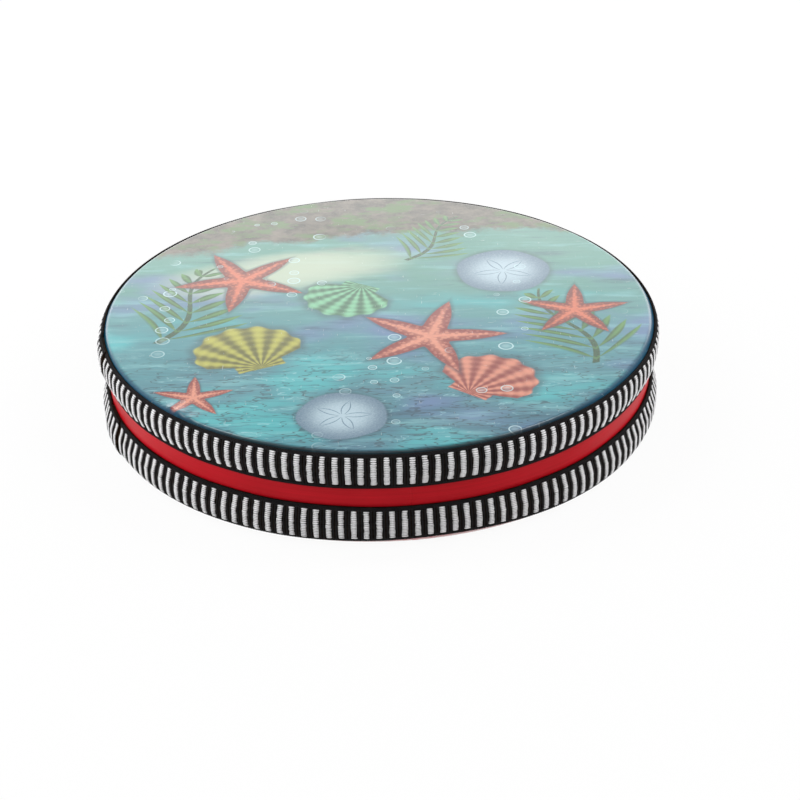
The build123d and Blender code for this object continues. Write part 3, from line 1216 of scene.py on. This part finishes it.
@dataclass
class Braid:
    """A woven ribbon: dark ground, looped edge cords, white bars of level threads and paired black ribs."""

    finishes: Finishes
    side: Side
    lap_angle: float
    inset: float
    seed: int
    ride_angle: float
    ride_height: float
    ride_spread: float
    wall_edge: float
    lap_length: float = 12 * MM
    lap_rise: float = 0.6 * MM
    lap_ramp: float = 7 * MM
    spare_wall: float = 3 * MM
    loose_edge: float = 0.1 * MM
    loose_fade: float = 4 * MM
    loose_waves: Waves = ((0.05 * MM, 9, 1), (0.04 * MM, 23, 2))
    easing: Numbers = (1.3 * MM, 0.3 * MM, 0.4 * MM)
    ground_lift: float = 0.60 * MM
    back_lift: float = 0.06 * MM
    root_depth: float = 0.05 * MM
    waver_waves: Waves = ((0.10 * MM, 5, 1), (0.07 * MM, 17, 3))
    deepest_waver: float = 0.05 * MM
    ground_crest: float = 0.4
    ground_rows: int = 500
    ground_columns: int = 22
    back_columns: int = 10
    covered_share: float = 0.3
    bars: BarSizes = BarSizes()
    ribs: RibSizes = RibSizes()
    cords: CordSizes = CordSizes()

    def __post_init__(self) -> None:
        """Work out the section that the ribbon follows and where its bars stand."""
        run, drop = SIZES.slope_run, SIZES.slope_drop
        shift = (SIZES.film + SIZES.bond_gap) * math.hypot(run, drop) / drop
        top = SIZES.height - self.inset
        top_radius = SIZES.film_bend_radius + shift + run * (SIZES.film_underside - top) / drop
        kink = SIZES.hem_height - SIZES.film - SIZES.bond_gap
        wall = SIZES.shell_outer_radius + SIZES.bond_gap
        foot = top - SIZES.ribbon_width_on_drum
        corners = [
            (top_radius, top),
            (SIZES.ribbon_inner_radius, SIZES.flesh_hoop_top),
            (SIZES.ribbon_inner_radius, kink),
            (wall, foot),
            (wall, foot - self.spare_wall),
        ]
        self.line = RoundedLine(corners, self.easing)
        self.width = self.line.length - self.spare_wall + self.loose_edge
        self.turn_length = math.tau * SIZES.radius
        self.pitch = self.turn_length / self.bars.count
        self.full_length = self.turn_length + self.lap_length
        self.start_angle = self.lap_angle - self.lap_length / SIZES.radius / 2
        self.root = self.ground_lift - self.root_depth
        self.random = np.random.default_rng(self.seed)

    def _ripple(self, angle: np.ndarray, waves: Waves) -> np.ndarray:
        """Return a sum of waves round the drum, each with its height, number to the turn and seed share."""
        return sum(height * np.sin(angle * number + phase * self.seed) for height, number, phase in waves)

    def _place(self, along: np.ndarray, across: np.ndarray, lift: np.ndarray) -> np.ndarray:
        """Return points on the wrapped ribbon.

        Args:
            along: Distance along the ribbon from its covered end.
            across: Distance from its rim edge.
            lift: Height above its back.

        Returns:
            Points in the drum's frame.
        """
        along, across, lift = np.broadcast_arrays(along, across, lift)
        angle = self.start_angle + along / SIZES.radius
        places, normals = self.line.at(self._seat(angle, across))
        lap = self.lap_rise * soft_step((along - self.turn_length + self.lap_ramp) / self.lap_ramp)
        loose = self._ripple(angle, self.loose_waves)
        out = lift + lap + loose * soft_step(across / self.loose_fade)
        spots = places + normals * out[..., None]
        points = round_axis(angle, spots[..., 0], spots[..., 1])
        return mirrored_height(points.reshape(-1, 3), self.side)

    def _seat(self, angle: np.ndarray, across: np.ndarray) -> np.ndarray:
        """Return where on the section the ribbon lies, with its rim edge a little further in at one place."""
        aside = (angle - self.ride_angle + math.pi) % math.tau - math.pi
        waver = self._ripple(angle, self.waver_waves)
        ride = self.ride_height * np.exp(-((aside / self.ride_spread) ** 2)) * (1 - across / self.width)
        return across + ride + np.maximum(waver, -self.deepest_waver)

    def build_ground(self) -> bpy.types.Object:
        """Build the ground of the ribbon as one closed band."""
        face = np.linspace(0, self.width, self.ground_columns)
        back = np.linspace(self.width, 0, self.back_columns)
        across = np.r_[face, back]
        lift = np.r_[np.full(len(face), self.ground_lift), np.full(len(back), self.back_lift)]
        along = np.linspace(0, self.full_length, self.ground_rows)
        points = self._place(along[:, None], across[None, :], lift[None, :])
        crest_shading = np.full(len(points), self.ground_crest)
        count = len(across)
        last_row = (len(along) - 1) * count
        faces = ring_faces(len(along), count)
        faces.append(list(range(count))[::-1])
        faces.append([last_row + column for column in range(count)])
        piece = self._named_piece("ground", points, faces, crest_shading, self.finishes.ground_yarn)
        face_outwards(piece)
        return piece

    def _named_piece(
        self,
        name: str,
        points: np.ndarray,
        faces: list[list[int]],
        crest_shading: np.ndarray,
        finish: bpy.types.Material,
    ) -> bpy.types.Object:
        """Return one piece of the ribbon, with how far up a thread each point is stored on its points, for the
        painted groove shade of the yarn materials.

        Args:
            name: Last part of the piece's name.
            points: Corner positions, three columns.
            faces: Corner numbers of each face.
            crest_shading: How far up a thread each point is, which the yarn materials paint as shade in the
                grooves.
            finish: Material of the yarn.

        Returns:
            The new object.
        """
        piece = mesh_piece(f"{self.side.value}_ribbon_{name}", points, faces)
        piece.data.materials.append(finish)
        mark = piece.data.attributes.new(GROOVE_SHADE_ATTRIBUTE, "FLOAT", "POINT")
        mark.data.foreach_set("value", np.asarray(crest_shading, np.float32).ravel())
        return piece

    def _bar_middles(self) -> np.ndarray:
        """Return where the bars stand along the ribbon, leaving out those under the lap."""
        middles = (np.arange(round(self.full_length / self.pitch)) + 0.5) * self.pitch
        return middles[middles > self.lap_length - self.covered_share * self.pitch]

    def build_bars(self) -> bpy.types.Object:
        """Build the white bars, each a pad of round level threads with uneven ends."""
        bars = self.bars
        rows = bars.threads * bars.rows_per_thread + 1
        thread = np.arange(rows) // bars.rows_per_thread
        crest = np.sin(math.pi * (np.arange(rows) % bars.rows_per_thread) / bars.rows_per_thread)
        columns, rise, least_painted_light = np.array([bars.columns, bars.rise, bars.least_painted_light])[:, None, :]
        lift = self.root + (bars.lift - self.root - bars.groove_depth * (1 - crest[:, None])) * rise
        # Painted shade: dark in the grooves between threads, deepest at the sides of each bar.
        crest_shading = least_painted_light + (1 - least_painted_light) * crest[:, None]
        strips = []
        for middle in self._bar_middles():
            ends = (bars.rim_edge, self.wall_edge) + self.random.normal(0, bars.end_spread, 2)
            across = np.linspace(ends[0], self.width - ends[1], rows)
            half = bars.width / 2 * self.random.normal(1, bars.width_spread)
            reach = self.random.normal(0, bars.thread_spread, (2, bars.threads + 1))
            left, right = half + reach[:, thread] - bars.teeth * (1 - crest)
            wide = np.where(columns < 0, left[:, None], right[:, None])
            shift, tilt = self.random.normal(0, (bars.shift_spread, bars.tilt_spread))
            tilt += bars.lap_lean * soft_step((middle - self.turn_length) / self.lap_length)
            lean = shift + np.linspace(-1, 1, rows) * tilt
            strips.append(self._place(middle + lean[:, None] + wide * columns, across[:, None], lift))
        return self._yarn_piece("white_bars", strips, [crest_shading] * len(strips), self.finishes.white_yarn)

    def build_ribs(self) -> bpy.types.Object:
        """Build the paired black ribs that stand between the white bars."""
        ribs = self.ribs
        rim = self.bars.rim_edge * ribs.edge_share
        across = np.linspace(rim, self.width - self.wall_edge * ribs.edge_share, ribs.rows)
        columns, rise = np.array([ribs.columns, ribs.rise])[:, None, :]
        weave = (np.arange(ribs.rows) % 2)[:, None]
        lift = self.root + (ribs.lift - self.root - ribs.weave_depth * (1 - weave)) * rise
        strips = []
        for middle in self._bar_middles()[:-1] + self.pitch / 2:
            for shift in (-ribs.shift, ribs.shift):
                wide = ribs.width / 2 + self.random.normal(0, ribs.width_spread, ribs.rows)
                strips.append(self._place(middle + shift + wide[:, None] * columns, across[:, None], lift))
        # Painted shade on the lower rows of the weave and at the sides of each rib.
        return self._yarn_piece("black_ribs", strips, [weave * rise] * len(strips), self.finishes.black_yarn)

    def build_cords(self) -> bpy.types.Object:
        """Build the looped cords along both edges."""
        cords = self.cords
        along = np.arange(0, self.full_length, cords.loop_pitch / cords.points_per_loop)[:, None]
        half_turn = np.linspace(math.pi, 0, cords.points_across)
        across_round, lift_round = np.cos(half_turn)[None, :], np.sin(half_turn)[None, :]
        middles = [*cords.rim_places, *(self.width - place for place in cords.wall_places)]
        strips, crest_shading = [], []
        for number, middle in enumerate(middles):
            swell = np.abs(np.sin(math.pi * (along / cords.loop_pitch + 0.5 * number)))
            across = middle + across_round * (cords.half_width + cords.loop_width * swell)
            lift = self.root + lift_round * (cords.height + cords.loop_height * swell)
            slant = cords.slant * across_round * cords.loop_pitch * (1 if number % 2 else -1)
            strips.append(self._place(along + slant, across, lift))
            # Painted shade between the loops and down the sides of each cord.
            crest_shading.append(swell * lift_round)
        return self._yarn_piece("edge_cords", strips, crest_shading, self.finishes.black_yarn)

    def _yarn_piece(
        self, name: str, strips: list[np.ndarray], crest_shading: list[np.ndarray], finish: bpy.types.Material
    ) -> bpy.types.Object:
        """Return one object made of many strips of yarn, facing outwards.

        Args:
            name: Last part of the piece's name.
            strips: Points of each strip, row by row.
            crest_shading: How far up a thread each point of each strip is, in rows and columns, painted as
                shade in the grooves.
            finish: Material of the yarn.

        Returns:
            The new object.
        """
        faces: list[list[int]] = []
        first = 0
        for strip, crest in zip(strips, crest_shading):
            rows, columns = crest.shape
            last_row = first + len(strip) - columns
            faces += ring_faces(rows, columns, first)
            faces.append([first + column for column in reversed(range(columns))])
            faces.append([last_row + column for column in range(columns)])
            first += len(strip)
        if self.side is Side.TOP:
            faces = [face[::-1] for face in faces]
        marks = np.concatenate([crest.ravel() for crest in crest_shading])
        return self._named_piece(name, np.vstack(strips), faces, marks, finish)

    def dress(self, ground: bpy.types.Object, yarns: Sequence[bpy.types.Object]) -> None:
        """Hide the ribbon of the solids and seat the new pieces on the drum."""
        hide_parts(f"{self.side.value}_ribbon")
        for piece in (ground, *yarns):
            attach(piece, "drum")


@dataclass
class Beads:
    """The loose steel beads of one node, as true balls where the solids are."""

    finishes: Finishes
    node: str
    body: str
    weld: float = 0.01 * MM
    subdivisions: int = 3

    def middles(self) -> list[Vector]:
        """Return the middle of each loose solid in the node."""
        mesh = frame["nodes"][self.node].data
        spots = [tuple(round(part / self.weld) for part in corner.co) for corner in mesh.vertices]
        leader = {spot: spot for spot in spots}

        def first(spot: tuple[int, ...]) -> tuple[int, ...]:
            """Follow the chain of joined corners to its first."""
            while leader[spot] != spot:
                spot = leader[spot]
            return spot

        for face in mesh.polygons:
            for corner in face.vertices[1:]:
                leader[first(spots[corner])] = first(spots[face.vertices[0]])
        solids: dict[tuple[int, ...], list[Vector]] = {}
        for spot, corner in zip(spots, mesh.vertices):
            solids.setdefault(first(spot), []).append(corner.co)
        middles = []
        for corners in solids.values():
            low = Vector(map(min, zip(*corners)))
            high = Vector(map(max, zip(*corners)))
            middles.append((low + high) / 2)
        return middles

    def build(self) -> bpy.types.Object:
        """Build a smooth ball at each middle."""
        work = bmesh.new()
        radius = SIZES.bead_diameter / 2
        for middle in self.middles():
            place = Matrix.Translation(middle)
            bmesh.ops.create_icosphere(work, subdivisions=self.subdivisions, radius=radius, matrix=place)
        name = f"{self.node}_balls"
        mesh = bpy.data.meshes.new(name)
        work.to_mesh(mesh)
        work.free()
        mesh.shade_smooth()
        return link_piece(name, mesh)

    def dress(self, piece: bpy.types.Object) -> None:
        """Polish the balls and let them roll with their body."""
        piece.data.materials.append(self.finishes.steel)
        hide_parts(self.node)
        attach(piece, self.body)


@dataclass
class Studio:
    """Floor, lamps, world and camera."""

    lens: float = 99.0
    sensor: float = 36.0
    nearest: float = 0.01
    distance: float = 804.0 * MM
    elevation: float = math.radians(29.75)
    roll: float = math.radians(-1.14)
    aim: Numbers = (7.07 * MM, 0.0, -1.77 * MM)
    floor_half: float = 4.0
    floor_drop: float = 0.02 * MM
    floor_grey: float = 0.86
    floor_roughness: float = 0.9
    floor_glow: float = 0.94
    room_light: float = 0.16

    def build(self) -> None:
        """Set up everything round the drum."""
        self._floor()
        self._world()
        drum = (0, 0, 0.02)
        large, small, wide = (1.7, 1.15), (0.25, 0.25), (1.5, 0.41)
        self._lamp("left_softbox", (-1.10, -0.10, 0.66), drum, large, 17.8, mirrored=False)
        self._lamp("right_softbox", (1.10, -0.10, 0.66), drum, large, 14.6, mirrored=False)
        self._lamp("left_overhead", (-0.54, 0.27, 1.04), drum, small, 2.0)
        self._lamp("right_overhead", (0.54, 0.27, 1.04), drum, small, 1.6)
        self._lamp("rear_softbox", (0.0, 0.80, 0.25), (0, 0, 0.25), wide, 4.25)
        self._camera()
        bpy.context.scene.view_settings.view_transform = "Standard"

    @staticmethod
    def _seen_share(wiring: Wiring) -> Term:
        """Return 1 for rays that show the background directly, in a mirror or through glass."""
        path = wiring.node("ShaderNodeLightPath")
        seen = Term(wiring, path.outputs["Is Camera Ray"])
        seen = seen.most(Term(wiring, path.outputs["Is Glossy Ray"]))
        return seen.most(Term(wiring, path.outputs["Is Transmission Ray"]))

    @staticmethod
    def _mixed(wiring: Wiring, share: object, first: bpy.types.Node, second: bpy.types.Node) -> bpy.types.Node:
        """Return a mix of two shaders, with the share of the second."""
        mix = wiring.node("ShaderNodeMixShader")
        for socket, value in zip(mix.inputs, (share, first.outputs[0], second.outputs[0])):
            wiring.join(value, socket)
        return mix

    def _floor(self) -> None:
        """Lay a plain white floor that keeps the drum's soft shadow and is clear from below."""
        half, low = self.floor_half, -self.floor_drop
        corners = np.array([(-half, -half, low), (half, -half, low), (half, half, low), (-half, half, low)])
        floor = mesh_piece("floor", corners, [(0, 1, 2, 3)])
        surface = Surface("white_floor")
        wiring = surface.wiring
        grey = (self.floor_grey, self.floor_grey, self.floor_grey)
        material = surface.finished(Base_Color=grey, Roughness=self.floor_roughness, Specular_IOR_Level=0.0)
        glow = wiring.node("ShaderNodeEmission")
        wiring.fill(glow, Strength=1.0)
        lit = self._mixed(wiring, self._seen_share(wiring) * self.floor_glow, surface.shader, glow)
        behind = wiring.node("ShaderNodeNewGeometry").outputs["Backfacing"]
        open_below = self._mixed(wiring, behind, lit, wiring.node("ShaderNodeBsdfTransparent"))
        wiring.fill(wiring.found("OUTPUT_MATERIAL"), Surface=open_below.outputs[0])
        floor.data.materials.append(material)

    def _world(self) -> None:
        """Make a white room that is dimmer as a light than as a background."""
        world = bpy.data.worlds.new("white_room")
        bpy.context.scene.world = world
        world.use_nodes = True
        wiring = Wiring(world.node_tree)
        strength = self._seen_share(wiring) * (1 - self.room_light) + self.room_light
        wiring.fill(wiring.found("BACKGROUND"), Color=(1.0, 1.0, 1.0), Strength=strength)

    @staticmethod
    def _lamp(
        name: str, spot: Sequence[float], aim: Sequence[float], size: Point, power: float, mirrored: bool = True
    ) -> None:
        """Hang one rectangular softbox.

        Args:
            name: Name of the lamp.
            spot: Where it hangs.
            aim: The point that it faces.
            size: Its width and height.
            power: Its power in watts.
            mirrored: Whether glossy surfaces show it.
        """
        light = bpy.data.lights.new(name, "AREA")
        light.shape = "RECTANGLE"
        light.size, light.size_y = size
        light.energy = power
        lamp = bpy.data.objects.new(name, light)
        lamp.location = spot
        lamp.rotation_mode = "QUATERNION"
        lamp.rotation_quaternion = (Vector(aim) - Vector(spot)).to_track_quat("-Z", "Y")
        lamp.visible_camera = False
        lamp.visible_glossy = mirrored
        bpy.context.scene.collection.objects.link(lamp)

    def _camera(self) -> None:
        """Stand the camera at the photograph's angle."""
        lens = bpy.data.cameras.new("camera")
        lens.lens = self.lens
        lens.sensor_width = self.sensor
        lens.clip_start = self.nearest
        camera = bpy.data.objects.new("camera", lens)
        back = Vector((0, -math.cos(self.elevation), math.sin(self.elevation)))
        level = Vector((1, 0, 0))
        upright = back.cross(level)
        right = math.cos(self.roll) * level + math.sin(self.roll) * upright
        up = -math.sin(self.roll) * level + math.cos(self.roll) * upright
        place = Matrix((right, up, back)).transposed().to_4x4()
        place.translation = Vector(self.aim) + back * self.distance
        camera.matrix_world = place
        bpy.context.scene.collection.objects.link(camera)
        bpy.context.scene.camera = camera


def report(piece: bpy.types.Object) -> None:
    """Log one finished piece with its size in points."""
    LOG.info("%s: %d points", piece.name, len(piece.data.vertices))


def build_rigid(finishes: Finishes) -> None:
    """Build and dress the shell, and give the flesh hoops their finish."""
    shell = Shell(finishes)
    hoop = shell.build()
    shell.dress(hoop)
    report(hoop)
    for node in ("top_flesh_hoop", "bottom_flesh_hoop"):
        strip = frame["nodes"][node]
        strip.data.materials.clear()
        strip.data.materials.append(finishes.hoop_strip)
        report(strip)


def build_heads(finishes: Finishes) -> None:
    """Build and dress both film heads, the upper one with three small puckers at its rim."""
    low, high = 0.6 * MM, 1.0 * MM
    puckers = ((math.radians(-135.5), low), (math.radians(-133), high), (math.radians(-130), low))
    heads = (
        Head(finishes, Side.TOP, 0.10 * MM, 0.25 * MM, puckers),
        Head(finishes, Side.BOTTOM, 0.05 * MM),
    )
    for head in heads:
        film = head.build()
        head.dress(film)
        report(film)


def build_braids(finishes: Finishes) -> None:
    """Build and dress both ribbons."""
    braids = (
        Braid(
            finishes, Side.TOP, math.radians(192), 0.95 * MM, seed=11, wall_edge=2.15 * MM,
            ride_angle=math.radians(4), ride_height=1.2 * MM, ride_spread=math.radians(36),
        ),
        Braid(
            finishes, Side.BOTTOM, math.radians(200), 1.5 * MM, seed=23, wall_edge=1.65 * MM,
            ride_angle=math.radians(-76), ride_height=1.9 * MM, ride_spread=math.radians(23),
        ),
    )
    for braid in braids:
        ground = braid.build_ground()
        yarns = [braid.build_bars(), braid.build_ribs(), braid.build_cords()]
        braid.dress(ground, yarns)
        for piece in (ground, *yarns):
            report(piece)


def build_beads(finishes: Finishes) -> None:
    """Build and dress the beads of every node that holds some."""
    for body, nodes in frame["record"]["behaviour"]["bodies"].items():
        for node in nodes:
            if "bead" in node:
                beads = Beads(finishes, node, body)
                balls = beads.build()
                beads.dress(balls)
                report(balls)


def main() -> None:
    """Build and dress every sub-assembly in order, then note the sizes."""
    logging.basicConfig(level=logging.INFO)
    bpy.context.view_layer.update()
    finishes = Finishes()
    build_rigid(finishes)
    build_heads(finishes)
    build_braids(finishes)
    build_beads(finishes)
    Studio().build()


if __name__ == "__main__":
    main()
